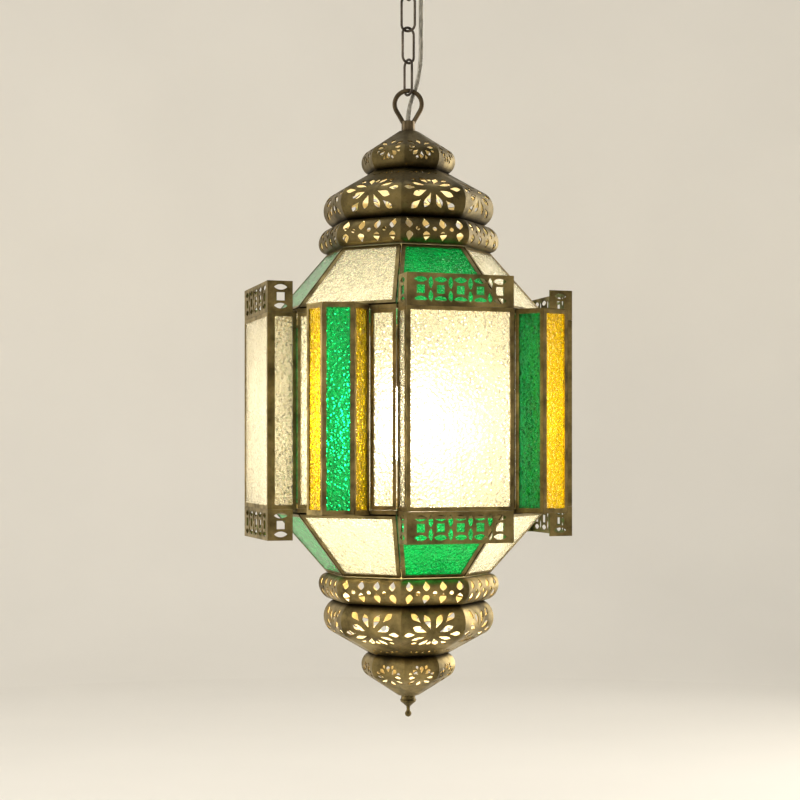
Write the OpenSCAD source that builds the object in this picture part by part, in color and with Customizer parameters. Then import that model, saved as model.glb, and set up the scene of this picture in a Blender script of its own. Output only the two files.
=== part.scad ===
// Eight-sided stained-glass hanging lantern with pierced brass tops, on a chain from a ceiling canopy.
// Millimetres, +Z up. The origin is the middle of the ceiling screws, on the ceiling's surface.
// Faces are numbered by their turn about Z: 0 faces -Y, 90 faces +X, 180 faces +Y, 270 faces -X.

/* [Body] */
// Radius of the eight-sided body over its corners
body_r = 130.6; // [125:0.1:145]
// Height of the body from rim to rim
body_h = 183; // [160:1:210]
// How far each glass box stands out from its face
box_out = 27; // [22:0.5:30]
// Width of each glass box
box_w = 98; // [80:0.5:98]
// Width of one pane of a six-sided bay
bay_w = 27.5; // [20:0.5:29]

/* [Panels] */
// Width of the brass came round every pane
came_w = 3.5; // [3:0.1:5]
// Depth of the came
came_t = 3.2; // [3:0.1:4]
// Thickness of the glass
glass_t = 1.8; // [1.5:0.1:2]
// Gap between neighbouring panels
panel_gap = 0.3; // [0.2:0.1:0.5]

/* [Roofs] */
// Height of each glass roof
roof_h = 61; // [45:1:75]
// Radius of the roof's small end over its corners
roof_top_r = 77; // [72:0.5:80]

/* [Pierced tops] */
// Thickness of the pierced sheet
sheet_t = 1.2; // [0.8:0.1:1.5]
// Half height of the half-round roll
roll_h = 12.6; // [10:0.1:14]
// Radius of the dome's curve
dome_r = 18.3; // [16:0.1:20]
// Radius of the cap's curve
cap_r = 13.3; // [11:0.1:14]

/* [Galleries] */
// Height of the pierced strips above and below each box
gallery_h = 28; // [22:0.5:32]
// Spacing of the pierced pattern
cell = 18.1; // [16:0.1:20]
// Thickness of the strip
gallery_t = 1; // [0.8:0.1:1.2]

/* [Hanging] */
// Outer width of the hanging ring
ring_w = 30; // [26:0.5:34]
// Thickness of the ring's wire
ring_wire = 4.3; // [4:0.1:5]
// Length of a chain link
link_l = 36; // [32:0.5:40]
// Width of a chain link
link_w = 15.2; // [14:0.1:17]
// Thickness of a link's wire
link_wire = 2.4; // [2:0.1:3]
// Turn of the hanging ring about the vertical
ring_turn = -18; // [-90:1:90]

/* [Lamp] */
// Diameter of the supply cord
cord_d = 4.5; // [4:0.1:5]
// Radius of the bulb's globe
bulb_r = 30; // [20:0.5:30]

/* [Hidden] */

brass = "#8a7340";
bronze = "#4a4028";
steel = "#6e665c";
clear = "#d8d4b8";
green = "#0f8a48";
yellow = "#f0b400";

// Body
face_d = body_r * cos(22.5);
side_w = 2 * body_r * sin(22.5);
rim_z = body_h / 2;
rim_bar = 3.6;
box_d = face_d + box_out;
box_h = 2 * (rim_z - rim_bar + 0.2);
strip_h = 2 * (rim_z - rim_bar - 0.2);
strip_w = side_w / 2 - bay_w * sin(60) - panel_gap;
bay_h = 2 * (rim_z - 0.5);
bay_d = face_d + bay_w / 2;
plate_t = 1;
faces = [0, 90, 180, 270];
corners = [45, 135, 225, 315];
glass_grip = 1;
glass_play = 0.1;

// Roofs
roof_top_d = roof_top_r * cos(22.5);
roof_run = face_d - roof_top_d;
roof_len = sqrt(roof_h * roof_h + roof_run * roof_run);
roof_lean = atan2(roof_h, roof_run);
roof_foot = 2.2;
roof_t = 2.5;
hip_back = 0.9;

// Pierced tops, as heights above the middle of the body
roof_top_z = rim_z + roof_h;
roll_z = roof_top_z - 1.1 + roll_h;
roll_mid_r = roof_top_r - 2.25;
roll_bulge = 10.75;
dome_z = roll_z + roll_h + 0.05 + dome_r * sin(62);
dome_cr = 62.7;
dome_top = [39, dome_z + 33.8];
cap_z = dome_top[1] + 0.05 + cap_r * sin(60);
cap_cr = 31.35;
cap_top = [10.5, cap_z + 28.8];
top_z = cap_top[1];

// Hanging
ring_cr = (ring_w - ring_wire) / 2;
collar_h = 10;
ring_z = top_z + 26.6;
tube_r = 5;
link_cr = (link_w - link_wire) / 2;
link_straight = link_l - link_w;
play = 0.8;
clear_gap = 0.4;
link_step = link_l - 2 * link_wire - play;
lower_link_z = ring_z + ring_cr - ring_wire / 2 - play - link_wire + link_l / 2;
middle_link_z = lower_link_z + link_step;
upper_link_z = middle_link_z + link_step;
lower_turn = ring_turn - 57;
middle_turn = ring_turn + 35;
upper_turn = ring_turn - 12;
hook_turn = ring_turn + 68;
hook_wire = 3;
hook_cr = 7;
hook_z = upper_link_z + link_l / 2 - link_wire - play - hook_wire / 2 + hook_cr;
canopy_r = 52;
canopy_flat = 19;
canopy_h = 30;
canopy_z = hook_z + hook_cr + 14;
drop = canopy_z + canopy_h;
shank_r = 2.5;

// Lamp
bulb_z = -16;
tip_z = bulb_z - bulb_r + 105;
holder_z = tip_z - 34;
holder_h = 56;
holder_r = 20;

// Door hinge and latch, on the box that faces +Y
pivot_x = -box_w / 2 - 1.6;
pivot_y = box_d + 1.8;
barrel_r = 1.8;
pin_r = 1;
pin_play = 0.06;
knuckle = 9;
hinge_zs = [-55, 55];
latch_x = box_w / 2 - 6.5;

// The supply cord's route: right of the ring's plane, behind it, and height above the body's middle
cord_x = 12.2;
cord_route = [
    [cord_x, 0, 440], [cord_x, 0, 425], [cord_x, 0, 405], [cord_x, 0, 390],
    [cord_x, 0, 382], [cord_x, 0, 372], [cord_x, 0, 362], [cord_x, 0, 351],
    [cord_x, 0, 345], [12, 0.2, 338], [11.4, 1, 330], [10, 2.8, 321],
    [8.4, 4.8, 314], [6.6, 5.8, 308], [4.8, 5.5, 303], [3.2, 4.2, 298],
    [1.8, 2.4, 292], [0.8, 1, 287], [0.2, 0.2, 282], [0, 0, 277],
    [0, 0, 250], [0, 0, 200], [0, 0, 150], [0, 0, 110], [0, 0, 74]];

// ---------------------------------------------------------------- helpers

function arc(cr, cz, r, a0, a1, n) =
    [for (i = [0:n]) let (a = a0 + (a1 - a0) * i / n) [cr + r * cos(a), cz + r * sin(a)]];
function reversed(v) = [for (i = [len(v) - 1:-1:0]) v[i]];
function unit(v) = v / norm(v);

// Direction of a route at point i
function along(p, i) = unit(p[min(i + 1, len(p) - 1)] - p[max(i - 1, 0)]);

// A round tube swept from point first to point last of a route that runs mostly downwards, as one closed
// solid of 8 sides. Its end faces are square to the whole route, so that two stretches meet face to face.
module swept(p, first, last, r) {
    n = 8;
    count = last - first;
    rings = [for (i = [first:last])
        let (t = along(p, i), u = unit(cross(t, [0, 1, 0])), v = cross(t, u))
        for (k = [0:n - 1]) p[i] + r * (cos(45 * k) * u + sin(45 * k) * v)];
    sides = [for (i = [0:count - 1]) for (k = [0:n - 1])
        let (a = i * n + k, b = i * n + (k + 1) % n) [a, b, b + n, a + n]];
    start = [for (k = [n - 1:-1:0]) k];
    end = [for (k = [0:n - 1]) count * n + k];
    polyhedron(points = rings, faces = concat(sides, [start, end]), convexity = 4);
}

// Things placed relative to the middle of the body
module lantern() {
    translate([0, 0, -drop]) children();
}

// A face's own frame: X to the right seen from outside, Y up, Z outward
module on_face(turn, d) {
    rotate([0, 0, turn]) translate([0, -d, 0]) rotate([90, 0, 0]) children();
}

// The same, for a pane of a bay: its side walls at -90 and 90, its front panes at -30 and 30
module on_bay(turn, way) {
    rotate([0, 0, turn]) translate([0, -bay_d, 0]) rotate([0, 0, way])
        translate([0, -bay_w * cos(30), 0]) rotate([90, 0, 0]) children();
}

// A came frame standing upright, with each upright edge mitred by m0 on the left and m1 on the right
module wall_frame(w, h, m0, m1) {
    difference() {
        translate([0, h / 2, 0]) rotate([90, 0, 0]) linear_extrude(h) polygon([
            [-w / 2 + panel_gap / 2, 0], [w / 2 - panel_gap / 2, 0],
            [w / 2 - panel_gap / 2 - came_t * tan(m1), -came_t],
            [-w / 2 + panel_gap / 2 + came_t * tan(m0), -came_t]]);
        cube([w - 2 * came_w, h - 2 * came_w, 3 * came_t], center = true);
        translate([0, 0, -came_t / 2]) cube([w - 2 * (came_w - glass_grip) + glass_play,
            h - 2 * (came_w - glass_grip) + glass_play, glass_t + glass_play], center = true);
    }
}

module wall_pane(w, h) {
    translate([0, 0, -came_t / 2])
        cube([w - 2 * (came_w - glass_grip), h - 2 * (came_w - glass_grip), glass_t], center = true);
}

// Outline of a roof panel, drawn in by d on every side, X along the rim and Y up the slope
module roof_outline(d) {
    y0 = roof_foot + d;
    y1 = roof_len - roof_foot - d;
    lean = (side_w / 2 - roof_top_r * sin(22.5)) / roof_len;
    back = (hip_back + d) / cos(atan(lean));
    x0 = side_w / 2 - y0 * lean - back;
    x1 = side_w / 2 - y1 * lean - back;
    polygon([[-x0, y0], [x0, y0], [x1, y1], [-x1, y1]]);
}

module on_roof(turn) {
    rotate([0, 0, turn]) translate([0, -face_d, rim_z]) rotate([roof_lean, 0, 0]) children();
}

module roof_frame_panel() {
    difference() {
        translate([0, 0, -roof_t]) linear_extrude(roof_t) difference() {
            roof_outline(0);
            roof_outline(came_w);
        }
        translate([0, 0, -(roof_t + glass_t + glass_play) / 2])
            linear_extrude(glass_t + glass_play) roof_outline(came_w - glass_grip - glass_play / 2);
    }
}

module roof_pane() {
    translate([0, 0, -(roof_t + glass_t) / 2]) linear_extrude(glass_t) roof_outline(came_w - glass_grip);
}

// An eight-sided shell from its half outline, its corners in line with the body's
module eight_sided(outline) {
    rotate([0, 0, 22.5]) rotate_extrude($fn = 8) polygon(outline);
}

function roll_curve(t, a) = [for (i = [0:12]) let (q = -a + 2 * a * i / 12)
    [roll_mid_r - 2.25 * sin(q) + (roll_bulge - t) * cos(q), roll_z + (roll_h - t) * sin(q)]];
roll_outline = concat(roll_curve(0, 90),
    [[62, roll_z + roll_h], [62, roll_z + roll_h - sheet_t]],
    reversed(roll_curve(sheet_t, 82)),
    [[67, roll_z - roll_h + sheet_t], [67, roll_z - roll_h]]);

// A bowl tier: a round shoulder, then a straight slope up to its lip
function bowl(cr, cz, r, a0, top, foot_in, lip_in) = concat(
    arc(cr, cz, r, a0, 50, 12), [top],
    [[lip_in, top[1]], [lip_in, top[1] - sheet_t], [top[0] - 0.6, top[1] - sheet_t]],
    reversed(arc(cr, cz, r - sheet_t, a0 + 4, 50, 12)),
    [[foot_in, cz + r * sin(a0) + sheet_t], [foot_in, cz + r * sin(a0)]]);

// A lens-shaped hole: two arcs that meet in points
module lens(l, w) {
    r = (l * l + w * w) / (4 * w);
    intersection() {
        translate([0, r - w / 2]) circle(r = r, $fn = 64);
        translate([0, w / 2 - r]) circle(r = r, $fn = 64);
    }
}

// A pierced strip: squares with lenses above and below, and upright lenses between them
module pierced(w, h, phase) {
    n = ceil(w / cell / 2) + 1;
    difference() {
        square([w, h], center = true);
        for (i = [-n:n]) {
            x = i * cell + phase;
            if (abs(x) < w / 2 - 5.5) {
                square_hole(x);
                for (s = [-1, 1]) translate([x, s * 0.3 * h]) lens(0.68 * cell, 0.28 * cell);
            }
            if (abs(x + cell / 2) < w / 2 - 4)
                for (s = [-1, 1]) translate([x + cell / 2, s * 0.21 * h]) rotate(90) lens(0.39 * h, 0.25 * cell);
        }
    }
}

module square_hole(x) {
    translate([x, 0]) square(0.41 * cell, center = true);
}

module gallery(turn) {
    z = rim_z - rim_bar + 0.4 + gallery_h / 2;
    on_face(turn, box_d) translate([0, z, -gallery_t]) linear_extrude(gallery_t) pierced(box_w, gallery_h, 0);
    wing = 22;
    for (s = [-1, 1]) rotate([0, 0, turn]) translate([s * box_w / 2, -box_d + gallery_t + 0.1 + wing / 2, 0])
        rotate([90, 0, 90]) translate([0, z, s > 0 ? -gallery_t : 0])
            linear_extrude(gallery_t) pierced(wing, gallery_h, 0);
}

module galleries() {
    for (a = faces) gallery(a);
}

// ---------------------------------------------------------------- ceiling and chain

module mounting_bracket() {
    color(steel) difference() {
        translate([-48, -8, -2]) cube([96, 16, 2]);
        for (x = [-35, 35]) translate([x, 0, -3]) cylinder(r = 2.25, h = 4, $fn = 48);
        translate([0, 0, -3]) cylinder(r = shank_r + 0.05, h = 4, $fn = 48);
    }
}

module ceiling_canopy() {
    a1 = acos(canopy_flat / canopy_r);
    t = 1.5;
    outer = [for (i = [0:16]) [canopy_r * cos(a1 * i / 16), -canopy_h * sin(a1 * i / 16) / sin(a1)]];
    inner = [for (i = [16:-1:0])
        [(canopy_r - t) * cos(a1 * i / 16), -(canopy_h - t) * sin(a1 * i / 16) / sin(a1)]];
    color(bronze) difference() {
        rotate_extrude($fn = 96) polygon(concat(outer,
            [[0, -canopy_h], [0, t - canopy_h]], inner));
        translate([0, 0, -canopy_h - 1]) cylinder(r = shank_r + 0.1, h = 5, $fn = 48);
        rotate([0, 0, ring_turn]) translate([cord_x, 0, -canopy_h - 1]) cylinder(r = 3.5, h = 5, $fn = 48);
    }
}

module canopy_hook() {
    color(bronze) lantern() {
        translate([0, 0, hook_z]) rotate([0, 0, hook_turn]) rotate([90, 0, 0])
            rotate_extrude($fn = 96) translate([hook_cr, 0]) circle(d = hook_wire, $fn = 32);
        translate([0, 0, hook_z + hook_cr]) cylinder(r = shank_r, h = drop - hook_z - hook_cr - 0.2, $fn = 48);
    }
}

module hook_nut() {
    color(steel) lantern() translate([0, 0, canopy_z + 1.6]) difference() {
        cylinder(r = 4.6, h = 4, $fn = 6);
        translate([0, 0, -1]) cylinder(r = shank_r + 0.05, h = 6, $fn = 48);
    }
}

module cord_bush() {
    color("black") lantern() rotate([0, 0, ring_turn]) translate([cord_x, 0, canopy_z]) difference() {
        union() {
            translate([0, 0, -2]) cylinder(r = 5, h = 1.95, $fn = 48);
            translate([0, 0, -0.1]) cylinder(r = 3.4, h = 5, $fn = 48);
        }
        translate([0, 0, -3]) cylinder(r = cord_d / 2 + 0.1, h = 9, $fn = 48);
    }
}

// One welded chain link, standing in the XZ plane about its middle
module chain_link(z, turn) {
    translate([0, 0, z]) rotate([0, 0, turn]) {
        for (s = [0, 180]) rotate([90, s, 0]) translate([0, link_straight / 2, 0])
            rotate_extrude(angle = 180, $fn = 96) translate([link_cr, 0]) circle(d = link_wire, $fn = 32);
        for (s = [-1, 1]) translate([s * link_cr, 0, -link_straight / 2])
            cylinder(d = link_wire, h = link_straight, $fn = 32);
    }
}

module chain_link_upper() {
    color(steel) lantern() chain_link(upper_link_z, upper_turn);
}

module chain_link_middle() {
    color(steel) lantern() chain_link(middle_link_z, middle_turn);
}

module chain_link_lower() {
    color(steel) lantern() chain_link(lower_link_z, lower_turn);
}

module cord_stretch(a, b) {
    color("silver") lantern() rotate([0, 0, ring_turn]) swept(cord_route, a, b, cord_d / 2);
}

module supply_cord_top() {
    cord_stretch(0, 4);
}

module supply_cord_upper() {
    cord_stretch(4, 7);
}

module supply_cord_lower() {
    cord_stretch(7, 11);
}

module supply_cord_neck() {
    cord_stretch(11, 24);
}

// ---------------------------------------------------------------- hanging ring and lamp

module hanging_ring() {
    leg = 15;
    color(bronze) lantern() difference() {
        union() {
            rotate([0, 0, ring_turn]) translate([0, 0, ring_z]) rotate([90, 0, 0]) {
                rotate([0, 0, -30]) rotate_extrude(angle = 240, $fn = 96)
                    translate([ring_cr, 0]) circle(d = ring_wire, $fn = 32);
                for (m = [0, 1]) mirror([m, 0, 0]) rotate([0, 0, -30]) translate([ring_cr, 0, 0])
                    rotate([90, 0, 0]) cylinder(d = ring_wire, h = leg, $fn = 32);
            }
            translate([0, 0, top_z + 0.05]) cylinder(r = 6.4, h = collar_h, $fn = 64);
        }
        translate([0, 0, top_z - 6]) cylinder(r = 12, h = 6.05, $fn = 48);
        translate([0, 0, top_z - 1]) cylinder(r = tube_r + 0.05, h = 6, $fn = 64);
        translate([0, 0, top_z - 1]) cylinder(r = cord_d / 2 + 0.4, h = 14, $fn = 48);
    }
}

module support_tube() {
    color(steel) lantern() translate([0, 0, holder_z + holder_h - 6]) difference() {
        cylinder(r = tube_r, h = top_z + 4.8 - holder_z - holder_h + 6, $fn = 64);
        translate([0, 0, -1]) cylinder(r = cord_d / 2 + 0.9, h = 300, $fn = 48);
    }
}

module lock_nuts() {
    color(brass) lantern() for (s = [-1, 1]) translate([0, 0, s * (top_z - sheet_t - 4.1)]) difference() {
        cylinder(r = 8.1, h = 8, center = true, $fn = 6);
        cylinder(r = tube_r + 0.05, h = 10, center = true, $fn = 64);
    }
}

module lamp_holder() {
    color("#2b2622") lantern() translate([0, 0, holder_z]) rotate_extrude($fn = 96) polygon([
        [13.5, 0], [holder_r, 0], [holder_r, 6], [holder_r - 1.5, 8], [holder_r - 1.5, 42], [12, holder_h],
        [tube_r + 0.05, holder_h], [tube_r + 0.05, 49], [11, 44], [11, 39.5], [3, 39.5], [3, 36.5], [13.5, 36.5]]);
}

module bulb_cap() {
    color("silver") lantern() translate([0, 0, holder_z - 1]) rotate_extrude($fn = 96) polygon([
        [12, 0], [13.15, 0], [13.15, 28], [10, 31], [4.5, 33], [4.5, 34.5], [0, 35],
        [0, 32], [9.5, 29], [12, 27]]);
}

// Half outline of the bulb, drawn in by t: a globe that draws in to a neck
function bulb_curve(t) =
    let (globe = arc(0, bulb_z, bulb_r - t, -90, 38, 24),
        shoulder = globe[len(globe) - 1],
        neck_z = holder_z - 1.05)
    concat(globe, [for (i = [1:8]) let (q = i / 8, s = q * q * (3 - 2 * q))
        [shoulder[0] + (13 - t - shoulder[0]) * s, shoulder[1] + (neck_z - shoulder[1]) * q]]);

module bulb_glass() {
    color("#fff2c8") lantern() rotate_extrude($fn = 96)
        polygon(concat(bulb_curve(0), reversed(bulb_curve(0.8))));
}

// ---------------------------------------------------------------- pierced tops

module cap_shell() {
    eight_sided(bowl(cap_cr, cap_z, cap_r, -60, cap_top, 28, 5.9));
}

module dome_shell() {
    eight_sided(bowl(dome_cr, dome_z, dome_r, -62, dome_top, 62, 29));
}

module roll_shell() {
    eight_sided(roll_outline);
}

module upper_cap() {
    color(bronze) lantern() cap_shell();
}

module upper_dome() {
    color(bronze) lantern() dome_shell();
}

module upper_roll() {
    color(bronze) lantern() roll_shell();
}

module lower_roll() {
    color(brass) lantern() mirror([0, 0, 1]) roll_shell();
}

module lower_dome() {
    color(brass) lantern() mirror([0, 0, 1]) dome_shell();
}

module lower_cap() {
    color(brass) lantern() mirror([0, 0, 1]) cap_shell();
}

module finial() {
    knob = [[0, 11], [5, 11], [5, 0], [6.6, 0], [6.8, -3.6], [7.8, -5], [7, -6.6], [3.4, -9.6],
        [1.9, -11], [1.5, -13.5], [1.9, -15.4]];
    ball = [for (i = [0:10]) let (a = 52 - 142 * i / 10) [3.1 * cos(a), -17.9 + 3.1 * sin(a)]];
    color(bronze) lantern() translate([0, 0, -top_z - 0.05])
        rotate_extrude($fn = 64) polygon(concat(knob, ball));
}

// ---------------------------------------------------------------- roofs and rims

module roof_frames() {
    for (a = [0:45:315]) on_roof(a) roof_frame_panel();
}

module roof_panes(turns) {
    for (a = turns) on_roof(a) roof_pane();
}

module upper_roof_frame() {
    color(bronze) lantern() roof_frames();
}

module lower_roof_frame() {
    color(brass) lantern() mirror([0, 0, 1]) roof_frames();
}

module upper_roof_clear_glass() {
    color(clear, 0.5) lantern() roof_panes(corners);
}

module upper_roof_green_glass() {
    color(green, 0.6) lantern() roof_panes(faces);
}

module lower_roof_clear_glass() {
    color(clear, 0.5) lantern() mirror([0, 0, 1]) roof_panes(corners);
}

module lower_roof_green_glass() {
    color(green, 0.6) lantern() mirror([0, 0, 1]) roof_panes(faces);
}

// Eight mitred bars round the body's rim
module rim_bars() {
    for (a = [0:45:315]) rotate([0, 0, a]) translate([0, 0, rim_z - rim_bar]) linear_extrude(rim_bar) polygon([
        [-side_w / 2 + 0.1, -face_d], [side_w / 2 - 0.1, -face_d],
        [side_w / 2 - 0.1 - 5 * tan(22.5), 5 - face_d], [0.1 + 5 * tan(22.5) - side_w / 2, 5 - face_d]]);
}

module upper_rim() {
    color(brass) lantern() rim_bars();
}

module lower_rim() {
    color(brass) lantern() mirror([0, 0, 1]) rim_bars();
}

// Flat plates that close the boxes and the bays
module cover_plates() {
    for (a = faces) rotate([0, 0, a]) translate([0, -face_d - 0.1, rim_z - rim_bar + 0.4])
        translate([-box_w / 2 + gallery_t + 0.1, gallery_t + 0.2 - box_out, 0])
            cube([box_w - 2 * gallery_t - 0.2, box_out - gallery_t - 0.2, plate_t]);
    for (a = corners) rotate([0, 0, a]) translate([0, 0, rim_z - 0.45]) linear_extrude(plate_t) polygon([
        [-bay_w * sin(60), -face_d - 0.1], [-bay_w * sin(60), -face_d - bay_w],
        [0, -bay_d - bay_w], [bay_w * sin(60), -face_d - bay_w], [bay_w * sin(60), -face_d - 0.1]]);
}

module upper_cover_plates() {
    color(bronze) lantern() cover_plates();
}

module lower_cover_plates() {
    color(brass) lantern() mirror([0, 0, 1]) cover_plates();
}

module upper_galleries() {
    color(brass) lantern() galleries();
}

module lower_galleries() {
    color(brass) lantern() mirror([0, 0, 1]) galleries();
}

// ---------------------------------------------------------------- boxes

box_side_w = box_out - came_t - panel_gap / 2;

module on_box_side(turn, s) {
    rotate([0, 0, turn]) translate([s * box_w / 2, -face_d - panel_gap / 2 - box_side_w / 2, 0])
        rotate([90, 0, s * 90]) children();
}

module box_side_frames(turn) {
    for (s = [-1, 1]) on_box_side(turn, s) wall_frame(box_side_w, box_h, 0, 0);
}

module box_side_panes(turn) {
    for (s = [-1, 1]) on_box_side(turn, s) wall_pane(box_side_w, box_h);
}

module box_frames(turn) {
    color(brass) lantern() {
        on_face(turn, box_d) wall_frame(box_w, box_h, 0, 0);
        box_side_frames(turn);
    }
}

module box_panes(turn) {
    color(clear, 0.5) lantern() {
        on_face(turn, box_d) wall_pane(box_w, box_h);
        box_side_panes(turn);
    }
}

module front_box_frames() {
    box_frames(0);
}

module right_box_frames() {
    box_frames(90);
}

module rear_box_frames() {
    color(brass) lantern() box_side_frames(180);
}

module left_box_frames() {
    box_frames(270);
}

module front_box_glass() {
    box_panes(0);
}

module right_box_glass() {
    box_panes(90);
}

module rear_box_glass() {
    color(clear, 0.5) lantern() box_side_panes(180);
}

module left_box_glass() {
    box_panes(270);
}

// ---------------------------------------------------------------- bays and clear strips

strip_x = side_w / 2 - strip_w / 2;

module on_strip(turn, s) {
    on_face(turn, face_d) translate([s * strip_x, 0, 0]) children();
}

module bay_frames(turn) {
    color(brass) lantern() {
        for (s = [-1, 1]) on_strip(turn, s)
            wall_frame(strip_w, strip_h, s < 0 ? 22.5 : 0, s > 0 ? 22.5 : 0);
        on_bay(turn, -90) wall_frame(bay_w, bay_h, 0, 30);
        on_bay(turn, -30) wall_frame(bay_w, bay_h, 30, 30);
        on_bay(turn, 30) wall_frame(bay_w, bay_h, 30, 30);
        on_bay(turn, 90) wall_frame(bay_w, bay_h, 30, 0);
    }
}

module front_right_bay_frames() {
    bay_frames(45);
}

module rear_right_bay_frames() {
    bay_frames(135);
}

module rear_left_bay_frames() {
    bay_frames(225);
}

module front_left_bay_frames() {
    bay_frames(315);
}

module strip_glass() {
    color(clear, 0.5) lantern() for (a = corners) for (s = [-1, 1]) on_strip(a, s) wall_pane(strip_w, strip_h);
}

module bay_green_glass() {
    color(green, 0.7) lantern() for (a = corners) for (w = [-90, 30]) on_bay(a, w) wall_pane(bay_w, bay_h);
}

module bay_yellow_glass() {
    color(yellow, 0.7) lantern() for (a = corners) for (w = [-30, 90]) on_bay(a, w) wall_pane(bay_w, bay_h);
}

// ---------------------------------------------------------------- door, in the box that faces +Y

door_h = box_h - 0.4;

// The rear box seen from outside: X to the right, Y outward, Z up
module at_rear() {
    rotate([0, 0, 180]) mirror([0, 1, 0]) children();
}

// Hinge knuckles from z0 upwards, with the hole for the pin
module barrel(z0, h, bore) {
    translate([pivot_x, pivot_y, z0]) difference() {
        cylinder(r = barrel_r, h = h, $fn = 48);
        translate([0, 0, -1]) cylinder(r = bore, h = h + 2, $fn = 48);
    }
}

module door_frame() {
    color(brass) lantern() {
        on_face(180, box_d) wall_frame(box_w, door_h, 0, 0);
        at_rear() {
            for (z = hinge_zs) {
                barrel(z - knuckle / 2, knuckle, pin_r + pin_play);
                difference() {
                    translate([pivot_x, box_d - 0.3, z - knuckle / 2]) cube([10, 1.1, knuckle]);
                    translate([pivot_x, pivot_y, z - knuckle]) cylinder(r = barrel_r - 0.4, h = 2 * knuckle, $fn = 48);
                }
            }
            translate([latch_x, box_d - 0.5, 0]) rotate([-90, 0, 0]) cylinder(r = 1.5, h = 3, $fn = 48);
            translate([latch_x, box_d + 2.4, 0]) rotate([-90, 0, 0]) cylinder(r = 2.8, h = 0.8, $fn = 48);
        }
    }
}

module door_glass() {
    color(clear, 0.5) lantern() on_face(180, box_d) wall_pane(box_w, door_h);
}

// Fixed knuckles above and below each of the door's, their leaves on the box's side, and the pins
module door_hinges() {
    color(brass) lantern() at_rear() for (z = hinge_zs) {
        for (s = [-1, 1]) {
            z0 = z + s * (knuckle / 2 + clear_gap + 2.5) - 2.5;
            barrel(z0, 5, pin_r - 0.2);
            difference() {
                translate([-box_w / 2 - 0.85, box_d - 9, z0]) cube([0.8, 10, 5]);
                translate([pivot_x, pivot_y, z0 - 1]) cylinder(r = barrel_r - 0.4, h = 7, $fn = 48);
            }
        }
        translate([pivot_x, pivot_y, z - knuckle / 2 - clear_gap - 5])
            cylinder(r = pin_r, h = knuckle + 2 * clear_gap + 10, $fn = 48);
    }
}

// Turn button, stored upright so that the door is free
module latch_arm() {
    color(bronze) lantern() at_rear() translate([latch_x, box_d + 1, 0]) difference() {
        union() {
            rotate([-90, 0, 0]) cylinder(r = 3.2, h = 1, $fn = 48);
            translate([-1.8, 0, 0]) cube([3.6, 1, 14]);
        }
        translate([0, -1, 0]) rotate([-90, 0, 0]) cylinder(r = 1.55, h = 3, $fn = 48);
    }
}

// A bracket on the box's side, with a lip that the turned button goes behind
module latch_keeper() {
    x0 = box_w / 2 + 0.05;
    web_z = -3.1;
    color(brass) lantern() at_rear() {
        translate([x0, box_d - 8, -6]) cube([0.8, 8.5, 9.5]);
        translate([x0, box_d - 0.5, web_z]) cube([6, 3.8, 0.8]);
        translate([x0, box_d + 2.5, web_z]) cube([6, 0.8, 6.6]);
    }
}

mounting_bracket();
ceiling_canopy();
canopy_hook();
hook_nut();
cord_bush();
chain_link_upper();
chain_link_middle();
chain_link_lower();
supply_cord_top();
supply_cord_upper();
supply_cord_lower();
supply_cord_neck();
hanging_ring();
support_tube();
lock_nuts();
lamp_holder();
bulb_cap();
bulb_glass();
upper_cap();
upper_dome();
upper_roll();
lower_roll();
lower_dome();
lower_cap();
finial();
upper_roof_frame();
lower_roof_frame();
upper_roof_clear_glass();
upper_roof_green_glass();
lower_roof_clear_glass();
lower_roof_green_glass();
upper_rim();
lower_rim();
upper_cover_plates();
lower_cover_plates();
upper_galleries();
lower_galleries();
front_box_frames();
right_box_frames();
rear_box_frames();
left_box_frames();
front_box_glass();
right_box_glass();
rear_box_glass();
left_box_glass();
front_right_bay_frames();
rear_right_bay_frames();
rear_left_bay_frames();
front_left_bay_frames();
strip_glass();
bay_green_glass();
bay_yellow_glass();
door_frame();
door_glass();
door_hinges();
latch_arm();
latch_keeper();
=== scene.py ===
import math

import bmesh
import bpy
from bpy.props import FloatProperty, FloatVectorProperty, IntProperty, PointerProperty
from bpy.types import Operator, Panel, PropertyGroup
from mathutils import Matrix, Vector
from mathutils.geometry import delaunay_2d_cdt


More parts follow.
